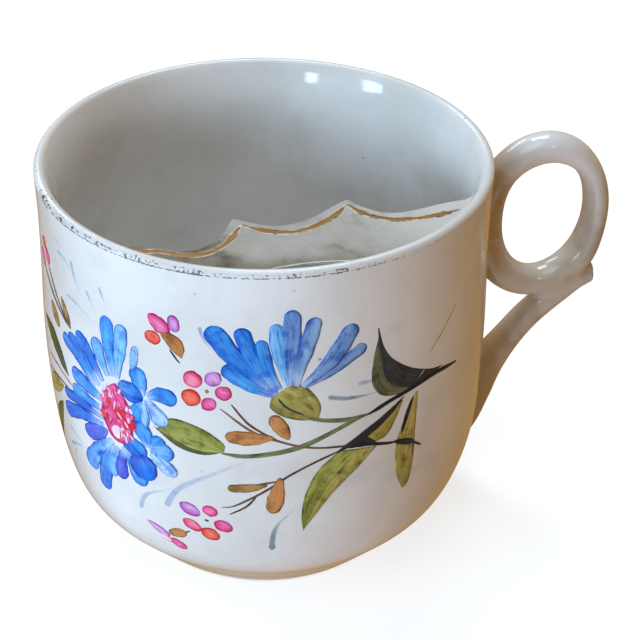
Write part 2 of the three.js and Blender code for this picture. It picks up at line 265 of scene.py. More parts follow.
def settle(points, faces, field, step):
    """Evens out the points among their neighbours and pulls each on to the surface, a few times."""
    ends = np.vstack([faces[:, [0, 1]], faces[:, [1, 2]], faces[:, [2, 3]], faces[:, [3, 0]]])
    ends = np.vstack([ends, ends[:, ::-1]])
    count = np.bincount(ends[:, 0], minlength=len(points))[:, None]
    reach = step / 20
    for evened in (False, True, True, True):
        if evened:
            columns = [np.bincount(ends[:, 0], points[ends[:, 1], k], len(points)) for k in range(3)]
            points = points + 0.5 * (np.stack(columns, 1) / count - points)
        value = field(*points.T)
        slope = np.stack([(field(*(points + d).T) - value) / reach for d in np.eye(3) * reach], 1)
        length = np.maximum((slope ** 2).sum(1), 0.2)
        points = points - np.clip(value / length, -step, step)[:, None] * slope
    return points


def nearest(a, b, line, closed):
    """For points (a, b), the distance to a line of (a, b, ...) rows and its other columns there."""
    squared = (a[..., None] - line[:, 0]) ** 2 + (b[..., None] - line[:, 1]) ** 2
    at = squared.argmin(-1)
    count = len(line)
    before, after = (at - 1) % count, (at + 1) % count
    if not closed:
        before, after = np.maximum(at - 1, 0), np.minimum(at + 1, count - 1)
    low, mid, high = (np.take_along_axis(squared, i[..., None], -1)[..., 0] for i in (before, at, after))
    bend = low - 2 * mid + high
    bent = bend > 1e-12
    shift = np.clip(np.where(bent, 0.5 * (low - high) / np.where(bent, bend, 1), 0), -0.5, 0.5)
    if not closed:
        shift = np.where((at == 0) | (at == count - 1), 0, shift)
    distance = np.sqrt(np.maximum(mid - 0.25 * (low - high) * shift, 0))
    beside = np.where(shift < 0, before, after)
    rest = line[at, 2:] + (line[beside, 2:] - line[at, 2:]) * np.abs(shift)[..., None]
    return distance, np.moveaxis(rest, -1, 0)


def oval(a, b, half_a, half_b):
    """Signed distance to an oval with those half sizes, true near its line."""
    near = np.hypot(a / half_a, b / half_b) + TINY
    steep = np.hypot(a / half_a ** 2, b / half_b ** 2) + TINY
    return near * (near - 1) / steep


def fused(a, b, radius):
    """The union of two fields with a fillet."""
    h = np.clip(0.5 + 0.5 * (b - a) / radius, 0, 1)
    return b + (a - b) * h - radius * h * (1 - h)


def trimmed(a, b, radius):
    """What two fields share, with the edge between them rounded."""
    corner = np.hypot(np.maximum(a + radius, 0), np.maximum(b + radius, 0))
    return np.minimum(np.maximum(a, b) + radius, 0) + corner - radius


# ---- materials ----

class Look:
    """The nodes of a material or a world, grown one at a time. An input that is given a socket is linked to
    it, and one that is given a plain value is set to it."""

    def __init__(self, owner, coordinates="Object"):
        owner.use_nodes = True
        self.owner, self.tree = owner, owner.node_tree
        self.tree.nodes.clear()
        self.place = self.node("TexCoord").outputs[coordinates]

    def node(self, kind, settings=None, **inputs):
        """A new node. An input called i0 is the first one, and _ in a name stands for a space."""
        made = self.tree.nodes.new("ShaderNode" + kind)
        for key, value in (settings or {}).items():
            setattr(made, key, value)
        for key, value in inputs.items():
            socket = made.inputs[int(key[1:]) if key[1:].isdigit() else key.replace("_", " ")]
            if isinstance(value, bpy.types.NodeSocket):
                self.tree.links.new(value, socket)
            else:
                socket.default_value = value
        return made

    def sums(self, operation, a, b):
        return self.node("Math", {"operation": operation}, i0=a, i1=b).outputs[0]

    def times(self, a, b):
        return self.sums("MULTIPLY", a, b)

    def plus(self, a, b):
        return self.sums("ADD", a, b)

    def noise(self, scale, detail=3.0, rough=0.55, vector=None):
        vector = self.place if vector is None else vector
        return self.node("TexNoise", Vector=vector, Scale=scale, Detail=detail, Roughness=rough).outputs[0]

    def ramp(self, value, low, high, to_low=0.0, to_high=1.0, kind="SMOOTHSTEP"):
        ends = {"i1": low, "i2": high, "i3": to_low, "i4": to_high}
        return self.node("MapRange", {"interpolation_type": kind}, i0=value, **ends).outputs[0]

    def blend(self, factor, a, b, kind="MIX"):
        return self.node("Mix", {"data_type": "RGBA", "blend_type": kind}, i0=factor, i6=a, i7=b).outputs[2]

    def bump(self, height, strength, distance, **normal):
        return self.node("Bump", Height=height, Strength=strength, Distance=distance, **normal).outputs[0]

    def attribute(self, name):
        return self.node("Attribute", {"attribute_name": name}).outputs

    def split(self, vector):
        return self.node("SeparateXYZ", Vector=vector).outputs

    def finish(self, **inputs):
        shader = self.node("BsdfPrincipled", **inputs)
        self.node("OutputMaterial", Surface=shader.outputs[0])
        return self.owner


def material(name):
    return Look(bpy.data.materials.new(name))


def colour(red, green, blue):
    """A colour given as it looks, 0 to 255, as the linear colour that Blender takes."""
    parts = [c / 255 for c in (red, green, blue)]
    return tuple(c / 12.92 if c <= 0.04045 else ((c + 0.055) / 1.055) ** 2.4 for c in parts) + (1.0,)


GLAZE_LIGHT, GLAZE_DARK = colour(232, 231, 228), colour(219, 217, 211)
SPECK, SMUDGE, GRIME = colour(96, 88, 78), colour(128, 118, 106), colour(52, 47, 44)
GOLD_LIGHT, GOLD_DARK = colour(176, 130, 50), colour(112, 76, 26)
CLAY_LIGHT, CLAY_DARK = colour(196, 176, 150), colour(128, 98, 70)
# Tints for the handle and the guard, each part stain and part painted shade.
HANDLE_STAIN_AND_SHADE, GUARD_STAIN_AND_SHADE = colour(196, 166, 118), colour(158, 156, 144)
STREAK = colour(236, 242, 252)


def glaze_colour(look, specks):
    """White glaze with faint clouds and small grey specks, more of them where specks is higher."""
    clouds = look.ramp(look.noise(38.0, 4.0), 0.35, 0.7)
    base = look.blend(clouds, GLAZE_LIGHT, GLAZE_DARK)
    cells = look.node("TexVoronoi", {"feature": "F1"}, Vector=look.place, Scale=420.0).outputs
    pick = look.node("SeparateColor", Color=cells["Color"]).outputs[0]
    chosen = look.ramp(pick, 1 - specks, 1.0)
    dot = look.ramp(cells["Distance"], 0.05, 0.2, 1.0, 0.0)
    return look.blend(look.times(look.times(chosen, dot), 0.75), base, SPECK)


def glaze(name, specks=0.012, waves=0.35, soil=0.1, stain_and_shade_colour=None):
    """Glazed porcelain: high gloss, a slightly uneven surface, and grey smudges as strong as soil. Where its
    stain-and-shade attribute is high it takes on that colour, partly as a real stain and partly as
    painted shade."""
    look = material(name)
    cloud = look.noise(95.0, 5.0, 0.6)
    soiled = look.times(look.ramp(cloud, 0.52, 0.72), soil)
    base = look.blend(soiled, glaze_colour(look, specks), SMUDGE)
    if stain_and_shade_colour:
        uneven = look.times(look.attribute("stain_and_shade")["Fac"], look.ramp(cloud, 0.2, 0.7, 0.75, 1.25))
        base = look.blend(uneven, base, stain_and_shade_colour, "MULTIPLY")
    gloss = look.ramp(look.noise(160.0), 0.3, 0.75, 0.06, 0.15)
    swell = look.bump(look.noise(55.0, 2.0), waves, 0.0006)
    peel = look.bump(look.noise(620.0, 2.0), 0.12, 0.00012, Normal=swell)
    return look.finish(Base_Color=base, Roughness=gloss, Normal=peel, IOR=1.5)


def enamel(name, deepener, streaks, outline, speckle):
    """Painted enamel: the mark's own tint, with brush streaks, pools, a deeper outline and specks, thinning
    to the glaze where its density is low. deepener is what the tint is multiplied by where the paint is
    thick. The attribute brush holds (mm along, -1 to 1 across, seed), and film holds (nearness to the border,
    density, 0)."""
    look = material(name)
    tint = look.attribute("tint")["Color"]
    brush, film = (look.split(look.attribute(part)["Vector"]) for part in ("brush", "film"))
    strand = look.node("CombineXYZ", X=look.times(brush[0], 0.14), Y=look.times(brush[1], 1.7), Z=brush[2])
    hairs = look.noise(1.5, 3.0, 0.6, strand.outputs[0])
    pool = look.noise(430.0)
    light = look.blend(look.times(look.ramp(hairs, 0.5, 0.75), streaks), tint, STREAK, "SOFT_LIGHT")
    rim = look.times(look.ramp(film[0], 0.72, 0.98), look.ramp(pool, 0.32, 0.6))
    dots = look.ramp(look.noise(1500.0, 2.0, 0.6), 0.64, 0.72)
    paint = light
    for where, strength in ((look.ramp(hairs, 0.5, 0.28), streaks), (look.ramp(pool, 0.48, 0.7), 0.6),
                            (rim, outline), (dots, speckle)):
        paint = look.blend(look.times(where, strength), paint, deepener, "MULTIPLY")
    cover = look.plus(film[1], look.times(look.plus(pool, -0.5), 0.7))
    amount = look.times(look.ramp(cover, 0.05, 0.75), look.ramp(film[1], 0.0, 0.3))
    return look.finish(Base_Color=look.blend(amount, glaze_colour(look, 0.0), paint),
                       Roughness=look.ramp(pool, 0.3, 0.7, 0.12, 0.28),
                       Normal=look.bump(hairs, 0.15, 0.00008), IOR=1.5, Specular_IOR_Level=0.1)


def worn_gilt(name, keep, fine):
    """Old gilding: brown gold rubbed through to the glaze, with dark specks. keep is how much gold is left,
    and fine is how fine the wear is. film holds (0, how much gold there is, how soiled it is)."""
    look = material(name)
    film = look.split(look.attribute("film")["Vector"])
    rubbed = look.plus(look.noise(fine * 0.5, 4.0, 0.65), look.plus(film[1], -1.0))
    gold = look.ramp(rubbed, 0.62 - keep, 0.74 - keep)
    patches = look.times(look.plus(look.noise(fine * 0.08, 2.0), -0.5), 0.45)
    level = look.plus(patches, look.plus(film[2], -1.0))
    grime = look.ramp(look.plus(look.noise(fine, 3.0, 0.6), level), 0.56, 0.62)
    metal = look.blend(look.noise(210.0), GOLD_LIGHT, GOLD_DARK)
    base = look.blend(gold, glaze_colour(look, 0.02), metal)
    bright = look.times(gold, look.sums("SUBTRACT", 1.0, grime))
    return look.finish(Base_Color=look.blend(look.times(grime, 0.85), base, GRIME),
                       Metallic=look.times(bright, 0.3), Roughness=look.ramp(rubbed, 0.3, 0.8, 0.22, 0.42),
                       Normal=look.bump(rubbed, 0.25, 0.00008), IOR=1.5)


def foot_glaze(name):
    """The foot: glazed like the body, with a bare, brown-stained edge where it stands."""
    look = material(name)
    ragged = look.plus(look.split(look.place)[2], look.times(look.plus(look.noise(260.0), -0.5), 0.0006))
    bare = look.ramp(ragged, 0.00035, 0.0006, 1.0, 0.0)
    clay = look.blend(look.noise(700.0), CLAY_LIGHT, CLAY_DARK)
    return look.finish(Base_Color=look.blend(bare, glaze_colour(look, 0.02), clay),
                       Roughness=look.ramp(bare, 0.0, 1.0, 0.1, 0.7),
                       Normal=look.bump(look.noise(900.0), 0.2, 0.0001))


# ---- porcelain ----

def make_body():
    lip = through(LIP, 25)[::-1]
    profile = np.vstack([INNER_CURVE[:0:-2], lip, OUTER_CURVE[-2:0:-2], through(UNDERSIDE, 16)])
    points, faces = lathe(profile, False)
    deliver("cup_body_porcelain", points, faces, glaze("porcelain_body"), ["cup_body"])


def make_foot():
    points, faces = lathe(np.vstack([through(FOOT, 34), [FOOT_CROWN]]), True)
    deliver("foot_ring_porcelain", points, faces, foot_glaze("porcelain_foot"),
            ["foot_ring", "foot_slip_joint"])


def ring_line():
    """The ring's centre line with its half thickness and half width: thicker where it meets the cup and above
    the spur, and squarer and thinner at its two upper corners. Angles run from the limb furthest from the cup
    up over the top."""
    angles = np.linspace(0, 2 * math.pi, 320, endpoint=False)
    corner = hump(angles, 2.4, 0.5) + 0.5 * hump(angles, 0.75, 0.4)
    shoulder = SHOULDER * hump(angles, 2 * math.pi - 0.75, 0.35)
    half = RING_HALF_THICKNESS + RING_CROWN * np.sin(angles) ** 2
    half = half + RING_ROOT * ((1 - np.cos(angles)) / 2) ** 3 - CORNER_TRIM * corner + shoulder
    grow = CORNER_REACH * corner + shoulder
    return np.stack([RING_CENTRE[0] + (RING_RADII[0] + grow) * np.cos(angles),
                     RING_CENTRE[1] + (RING_RADII[1] + grow) * np.sin(angles),
                     half, np.full_like(angles, RING_HALF_WIDTH)], 1)


RING = ring_line()
STRUT = through(STRUT_LINE, 400)


def wall_field(x, y, z):
    """Distance from the outside of the wall, less than zero in the porcelain."""
    slope = outer_radius(z + 0.5) - outer_radius(z - 0.5)
    return (np.hypot(x, y) - outer_radius(z)) / np.sqrt(1 + slope ** 2)


def handle_field(x, y, z):
    a, b = np.broadcast_arrays(x, z)
    distance, (half, wide) = nearest(a, b, RING, True)
    ring = oval(distance, y, half, wide)
    distance, (half, wide) = nearest(a, b, STRUT, False)
    strut = trimmed(oval(distance, y, half, wide), x - SPUR_END, SPUR_ROUNDING)
    handle = fused(ring, strut, RING_FILLET)
    wall = wall_field(x, y, z)
    joined = fused(handle, wall + SKIN_SINK, HANDLE_FILLET)
    return np.maximum(np.maximum(joined, -(wall + HANDLE_BITE)), handle - HANDLE_SKIRT)


def make_handle():
    """The handle with a brown tint, part stain and part painted shade, darkest near the wall and down the
    strut. The ring's top is left almost clear of it as painted light. The tint ends where the skin runs out
    on the wall."""
    points, faces = skin(handle_field, *HANDLE_BOX, HANDLE_STEP)
    x, y, z = np.array(points).T
    from_wall = wall_field(x, y, z)
    # painted light on the ring's top, and painted shade deepening the tint near the wall and down the strut
    lit_ring_top = smooth_step(70.0, 79.0, z) * smooth_step(2.0, 9.0, from_wall)
    stain_and_shade_depth = 0.45 - 0.43 * lit_ring_top + 0.5 * smooth_step(9.0, 2.0, from_wall) + 0.2 * smooth_step(48.0, 36.0, z)
    stain_and_shade = stain_and_shade_depth * smooth_step(-0.2, 1.6, from_wall)
    look = glaze("porcelain_handle", waves=0.5, soil=0.3, stain_and_shade_colour=HANDLE_STAIN_AND_SHADE)
    nodes = ["handle_ring", "handle_strut", "ring_slip_joint", "strut_slip_joint", "ring_to_strut_slip_joint"]
    deliver("handle_porcelain", points, faces, look, nodes, {"stain_and_shade": stain_and_shade})


def guard_outline():
    """The free edge as (x, y) rows with x rising, its points softened as the glaze softens them."""
    edge = np.vstack([through(turned(part, GUARD_TURN), 90) for part in GUARD_EDGE])
    at = np.linspace(-46, 46, 700)
    depth = np.interp(at, edge[:, 0], edge[:, 1])
    window = np.hanning(17)
    soft = np.convolve(np.pad(depth, 8, mode="edge"), window / window.sum(), mode="valid")
    return np.stack([at, soft], 1)


GUARD_OUTLINE = guard_outline()


def guard_field(x, y, z):
    a, b = np.broadcast_arrays(x, y)
    distance, _ = nearest(a, b, GUARD_OUTLINE, False)
    beyond = np.where(b > np.interp(a, GUARD_OUTLINE[:, 0], GUARD_OUTLINE[:, 1]), distance, -distance)
    slab = np.abs(z - GUARD_TOP + GUARD_THICKNESS / 2) - GUARD_THICKNESS / 2
    hole = -oval(x, y - SIP_CENTRE, SIP_HALF_LENGTH, SIP_HALF_DEPTH)
    plate = trimmed(trimmed(slab, beyond, EDGE_ROUNDING), hole, SIP_ROUNDING)
    wall = inner_radius(z) - np.hypot(x, y)
    joined = fused(plate, wall + SKIN_SINK, GUARD_FILLET)
    return np.maximum(np.maximum(joined, -(wall + GUARD_BITE)), plate - GUARD_SKIRT)


def make_guard():
    """The guard, tinted grey as stain and painted shade: darkest as painted shadow at the wall on the side
    away from the handle, and lighter towards the handle as painted light.
    """
    points, faces = skin(guard_field, *GUARD_BOX, GUARD_STEP)
    x, y, _ = np.array(points).T
    # painted shadow from the front wall, and painted light lightening the guard towards the handle
    shade = smooth_step(17.0, 3.0, WALL_AROUND - np.hypot(x, y)) * smooth_step(28.0, -5.0, x)
    stain_and_shade = 0.6 - 0.35 * smooth_step(5.0, 30.0, x) + 0.75 * shade
    look = glaze("porcelain_guard", specks=0.08, soil=0.85, stain_and_shade_colour=GUARD_STAIN_AND_SHADE)
    nodes = ["moustache_guard", "guard_slip_joint_left", "guard_slip_joint_right"]
    deliver("moustache_guard_porcelain", points, faces, look, nodes, {"stain_and_shade": stain_and_shade})


# ---- painted marks and gilding ----

def make_rim_gilding():
    """What is left of the gilt on the lip: a film that sinks into the glaze at both edges. It is worn to
    specks along the lip's outer edge, most of them at the front and on the side away from the handle, and to
    a broken line. across is 0 at the lip's outer edge and 1 at its inner edge."""
    rows = 25
    top = through(LIP, rows)[::-1]
    run = np.linspace(1, 0, rows)
    normal = sideways_of(top)
    film = top + normal * (0.035 * np.sqrt(np.sin(math.pi * run)) - 0.012)[:, None]
    points, faces = lathe(np.vstack([film, (top - 0.3 * normal)[::-2]]), True)
    points = np.array(points)
    angle = np.arctan2(points[:, 0], -points[:, 1])
    across = np.repeat(np.concatenate([run, run[::-2]]), SIDES)
    front = 0.3 + 0.7 * np.clip(hump(angle, -0.8, 0.8) + 0.5 * hump(angle, 0.1, 0.4), 0, 1)
    edge = hump(across, 0.2, 0.13) + 0.45 * hump(across, 0.0, 0.1)
    edge += 0.9 * hump(across, 0.5, 0.35) * hump(angle, -1.5, 0.45)
    line = 0.3 * hump(across, 0.07, 0.03) * np.clip(hump(angle, -0.6, 1.1) + 0.4, 0, 1)
    line += 0.27 * hump(across, 0.36, 0.05) * smooth_step(1.1, 2.0, np.abs(angle))
    marks = {"film": np.stack([np.zeros(len(points)), 0.62 + 0.32 * edge * front,
                               0.76 + 0.27 * edge * front + line], 1)}
    look = worn_gilt("gilding_rim", 0.1, 1750.0)
    deliver("rim_gilding", points, faces, look, ["rim_gilt_band"], marks)


class Paint:
    """Marks of one family, gathered into one piece. Each is a thin domed film with its underside in the
    glaze."""

    def __init__(self, surface):
        self.surface = surface
        self.points, self.faces = [], []
        self.marks = {}
        self.count = 0

    def add(self, around, up, height, **marks):
        """A grid of (around, up) with its attributes; height is the film's thickness at each point."""
        rows, columns = around.shape
        size = rows * columns
        index = np.arange(size).reshape(rows, columns) + self.count
        for grid, flip in ((index, False), (index + size, True)):
            quads = np.stack([grid[:-1, :-1], grid[1:, :-1], grid[1:, 1:], grid[:-1, 1:]], -1).reshape(-1, 4)
            self.faces += (quads[:, ::-1] if flip else quads).tolist()
        loop = np.concatenate([index[0, :-1], index[:-1, -1], index[-1, :0:-1], index[:0:-1, 0]])
        after = np.roll(loop, -1)
        self.faces += np.stack([after, loop, loop + size, after + size], 1)[:, ::-1].tolist()
        for level in (height, np.full_like(height, -SUNK)):
            self.points.append(self.surface(around, up, level).reshape(-1, 3))
        for label, values in marks.items():
            self.marks.setdefault(label, []).extend([values.reshape(size, -1)] * 2)
        self.count += 2 * size

    def deliver(self, name, look, slot, stands_for=()):
        marks = {label: np.vstack(values) for label, values in self.marks.items()}
        deliver(name, np.vstack(self.points), self.faces, look, stands_for, marks)


def on_wall(around, up, height):
    angle = around / WALL_AROUND
    radius = outer_radius(up) + height
    return np.stack([radius * np.sin(angle), -radius * np.cos(angle), up], -1)


def on_guard(x, y, height):
    return np.stack([x, y, GUARD_TOP + height], -1)


# Half width along a mark, from 0 at its start to 1 at its end, then how round its start and end are.
SHAPES = {
    "petal": ([(0, 0.34), (0.2, 0.55), (0.45, 0.86), (0.7, 1.0), (1, 0.96)], 0.0, 1.0),
    "dab": ([(0, 1), (1, 1)], 9.0, 9.0),
    "leaf": ([(0, 0.06), (0.12, 0.5), (0.35, 0.95), (0.55, 1.0), (0.8, 0.66), (1, 0.05)], 0.0, 0.0),
    "bean": ([(0, 0.3), (0.3, 0.8), (0.6, 1.0), (1, 0.9)], 0.5, 1.1),
    "line": ([(0, 0.35), (0.1, 0.9), (0.5, 1.0), (0.85, 0.9), (1, 0.3)], 0.0, 0.0),
    "comma": ([(0, 1.0), (0.35, 0.9), (0.7, 0.5), (1, 0.12)], 1.0, 0.0),
}

# Each family's shades, with the light and the dark end of each as they look.
FAMILIES = {
    "blue": {"azure": ((88, 174, 236), (4, 104, 202)), "sky": ((140, 202, 242), (38, 134, 216)),
             "pale": ((196, 224, 246), (112, 178, 232)), "deep": ((12, 126, 226), (0, 80, 190)),
             "violet": ((90, 112, 216), (42, 66, 190)), "slate": ((148, 182, 222), (72, 118, 184))},
    "pink": {"magenta": ((252, 142, 192), (214, 20, 114)), "orchid": ((236, 186, 234), (178, 86, 192)),
             "red": ((255, 140, 112), (226, 50, 36)), "rose": ((255, 150, 176), (226, 36, 88)),
             "blush": ((255, 236, 242), (248, 176, 204)), "cerise": ((250, 116, 172), (226, 36, 120)),
             "scarlet": ((240, 60, 70), (206, 22, 44)), "crimson": ((196, 30, 66), (140, 14, 44)),
             "cream": ((255, 246, 250), (250, 206, 226))},
    "brown": {"brown": ((214, 148, 88), (178, 112, 52)), "ochre": ((198, 154, 90), (162, 118, 58)),
              "twig": ((150, 112, 84), (94, 64, 48))},
    "green": {"leaf": ((184, 186, 94), (120, 124, 50)), "olive": ((192, 178, 100), (146, 132, 60)),
              "moss": ((102, 104, 58), (58, 62, 34)), "dusk": ((124, 122, 92), (72, 72, 54)),
              "stem": ((140, 148, 100), (104, 114, 68))},
    "dark": {"ink": ((66, 68, 68), (34, 36, 40))},
    "grey": {"mist": ((188, 202, 216), (152, 170, 190)), "cloud": ((150, 166, 174), (110, 130, 140)),
             "haze": ((150, 190, 238), (120, 170, 230))},
}
FAMILY_OF = {shade: family for family, shades in FAMILIES.items() for shade in shades}
FLAT_SHADES = ("cerise", "scarlet", "crimson", "cream")  # with a weaker outline
PETAL_ROOT = colour(204, 224, 246)  # what blue paint turns to where it is thin
LAYER = 0.011  # how far one layer of paint lies above the next
FILM = 0.03  # how far a film stands out in its middle
SUNK = 0.05  # how deep its underside is in the glaze
CROWDED = 0.8  # marks with points nearer to each other than this lie in different layers
ROW_STEP, COLUMN_STEP = 0.45, 0.4  # between the points of a mark, along it and across it
laid = []


def layer_for(around, up):
    """The layer that clears every earlier mark below this one."""
    middle = np.array([around.mean(), up.mean()])
    spots = np.stack([around.ravel(), up.ravel()], 1)
    reach = np.abs(spots - middle).max(0)
    level = 0
    for other_middle, other_reach, other_spots, other_level in laid:
        if (np.abs(other_middle - middle) > reach + other_reach).any() or other_level < level:
            continue
        gaps = np.abs(spots[::3, None] - other_spots[None, ::3]).max(-1)
        if gaps.min() < CROWDED:
            level = other_level + 1
    laid.append((middle, reach, spots, level))
    return level


def lay(paints, shade, around, up, along, across, edge, density, lean=0.0):
    """Lays one grid of paint. Its colour drifts between the shade's light and dark ends, and grows darker
    along the mark by as much as lean."""
    family = FAMILY_OF[shade]
    light, dark = (np.array(colour(*c)) for c in FAMILIES[family][shade])
    seed = dice.uniform(0, 60)
    length = along.max() + TINY
    drift = 0.5 + 0.22 * np.sin(across * 1.3 + seed) + 0.2 * np.cos(along / length * 2.6 + seed * 1.7)
    depth = drift + lean * (2 * along / length - 1)
    if shade in FLAT_SHADES:
        edge = edge * 0.7
    elif family == "pink":
        depth = 0.15 * drift + 0.9 * edge ** 1.4 + 0.35 * across * math.cos(seed)
    elif family == "blue":
        depth = 0.85 * depth + 0.3 * edge ** 2
    elif family == "grey":
        density = density * (1 - edge ** 2) ** 0.9
    depth = np.clip(depth + dice.uniform(-0.12, 0.12), 0, 1)[..., None]
    tint = light * (1 - depth) + dark * depth
    if family == "blue":
        thin = np.clip(1 - density, 0, 1)[..., None]
        tint = tint * (1 - thin) + np.array(PETAL_ROOT) * thin
        density = np.maximum(density, 0.75)
    height = LAYER * (1 + layer_for(around, up))
    if family == "grey":
        height = height * (1 - edge ** 2) - 0.02 * edge ** 2
    else:
        height = height + FILM * (1 - edge ** 4) * density
    paints[family].add(around, up, height, tint=tint,
                       brush=np.stack([along, across, np.full_like(along, seed)], -1),
                       film=np.stack([edge, density, np.zeros_like(edge)], -1))


def mark(paints, shade, shape, width, *points, wash=(1.0, 1.0)):
    """A brush mark along the points. wash is its (density at the start, density at the end)."""
    taper, start_round, end_round = SHAPES[shape]
    length = np.linalg.norm(np.diff(through(points, 24), axis=0), axis=1).sum()
    rows = int(np.clip(length / ROW_STEP, 9, 90))
    columns = int(np.clip(width / COLUMN_STEP, 5, 11))
    even = np.linspace(0, 1, rows)
    run = 0.5 - 0.5 * np.cos(math.pi * even) if shape in ("dab", "petal", "bean") else even
    line = np.stack([np.interp(run, even, column) for column in through(points, rows).T], 1)
    sideways = sideways_of(line)
    half = width / 2
    cap = np.zeros(rows)
    for roundness, away in ((start_round, run), (end_round, 1 - run)):
        if roundness:
            cap = np.maximum(cap, 1 - away / min(0.5, roundness * half / length))
    cap = np.clip(cap, 0, 0.995)[:, None]
    across = np.linspace(-1, 1, columns)[None, :]
    phase = dice.uniform(0, 6)
    slow, fast = np.sin(run * 9 + phase)[:, None], np.sin(run * 23 + 2 * phase)[:, None]
    waver = 1 + 0.05 * slow + 0.04 * fast * across
    taper_at = np.interp(run, *np.array(taper, float).T)[:, None]
    reach = half * taper_at * np.sqrt(1 - cap ** 2) * waver * across
    around = line[:, :1] + reach * sideways[:, :1]
    up = line[:, 1:] + reach * sideways[:, 1:]
    edge = np.sqrt(across ** 2 * (1 - cap ** 2) + cap ** 2)
    first, last = wash
    gain = smooth_step(0, 0.4, run) if shape == "petal" else run
    density = first + (last - first) * gain
    along, across, density = np.broadcast_arrays((run * length)[:, None], across, density[:, None])
    lay(paints, shade, around, up, along, across, edge, density)


def patch(paints, shade, left, right):
    """An area of paint between two edges that both run from its start to its end."""
    rows, columns = 42, 13
    a, b = through(left, rows), through(right, rows)
    part = np.linspace(0, 1, columns)[None, :, None]
    grid = a[:, None] * (1 - part) + b[:, None] * part
    step = np.linalg.norm(np.diff(grid[:, columns // 2], axis=0), axis=1)
    run = np.concatenate([[0], np.cumsum(step)])[:, None]
    along, across = np.broadcast_arrays(run, 2 * part[..., 0] - 1)
    ends = np.abs(2 * np.linspace(0, 1, rows) - 1)[:, None] ** 8
    edge = np.maximum(np.abs(across), ends)
    lay(paints, shade, grid[..., 0], grid[..., 1], along, across, edge, np.ones_like(edge), 0.15)


# Marks in the order they are painted: shade, shape, width, then (around, up) points from start to end.
LEFT_DAISY = [
    ("azure", "petal", 3.2, (-46, 53), (-51, 57.5), (-57, 59.3)),
    ("azure", "petal", 3.2, (-44.5, 54), (-49.5, 58.6), (-54.5, 61)),
    ("azure", "petal", 3.4, (-43.5, 55.5), (-47.5, 60.4), (-51.5, 63)),
    ("sky", "petal", 3.4, (-42, 57.5), (-44.2, 61.4), (-45.5, 64.8)),
    ("azure", "petal", 3.5, (-40.5, 58), (-41.6, 64), (-42, 71)),
    ("sky", "petal", 3.3, (-39.5, 58), (-38.9, 64), (-38, 70.6)),
    ("pale", "bean", 1.9, (-36, 60), (-35, 67)),
    ("azure", "petal", 4.2, (-43.5, 51), (-48.5, 52.2), (-53.8, 52.6)),
    ("azure", "petal", 3.0, (-43.5, 48.5), (-48.5, 48.8), (-54, 48.6)),
    ("deep", "petal", 2.8, (-44, 46.5), (-51, 46.6), (-58, 45.2)),
    ("deep", "petal", 3.7, (-44, 44.8), (-51.5, 43.6), (-58.6, 40.4)),
    ("violet", "bean", 4.2, (-43, 44), (-47, 41.6), (-50.5, 39.6)),
    ("sky", "petal", 4.2, (-42, 42), (-46.5, 37.5), (-51, 30.6)),
    ("deep", "bean", 2.2, (-43.4, 38.4), (-47.4, 35.4)),
    ("azure", "petal", 3.8, (-42, 41), (-44.5, 35), (-46.6, 27)),
    ("sky", "petal", 3.0, (-40.6, 41), (-42.6, 36), (-43, 32.4)),
    ("violet", "petal", 3.6, (-39, 41), (-40.2, 37), (-40.6, 33)),
    ("azure", "petal", 4.0, (-39, 42), (-36.6, 38), (-35, 33.6)),
]
UPPER_FLORET = [
    ("sky", "petal", 4.2, (-33.8, 56.2), (-34.4, 59.4), (-35.2, 62.4)),
    ("azure", "petal", 4.0, (-32.6, 56.6), (-29.6, 57.8), (-26.4, 57.2)),
    ("pale", "petal", 3.8, (-33, 55.8), (-31, 53.6), (-29.2, 50.6)),
    ("azure", "dab", 4.4, (-39.4, 57), (-33.6, 55.4)),
    ("deep", "bean", 1.8, (-37, 55.6), (-33.8, 54.4)),
    ("azure", "petal", 4.0, (-33.6, 54.6), (-35, 52.4), (-35.6, 49.4)),
    ("pale", "petal", 2.0, (-33.4, 54.6), (-33.2, 52), (-33.4, 49.4)),
]
LOWER_FLORET = [
    ("azure", "petal", 4.2, (-33, 44.4), (-33.6, 47), (-35, 50)),
    ("azure", "petal", 4.0, (-32.4, 44), (-30.6, 46.4), (-29.6, 47.6)),
    ("sky", "dab", 4.4, (-32.6, 44.2), (-27.4, 44.6)),
    ("pale", "petal", 3.4, (-32.4, 43.2), (-29.8, 41.2), (-27.2, 39.2)),
    ("azure", "bean", 4.6, (-40, 44.6), (-33.4, 42.2)),
    ("deep", "dab", 6.4, (-35.6, 42), (-33.4, 35.8)),
    ("deep", "bean", 1.6, (-38.4, 43.8), (-34.6, 41.2)),
]
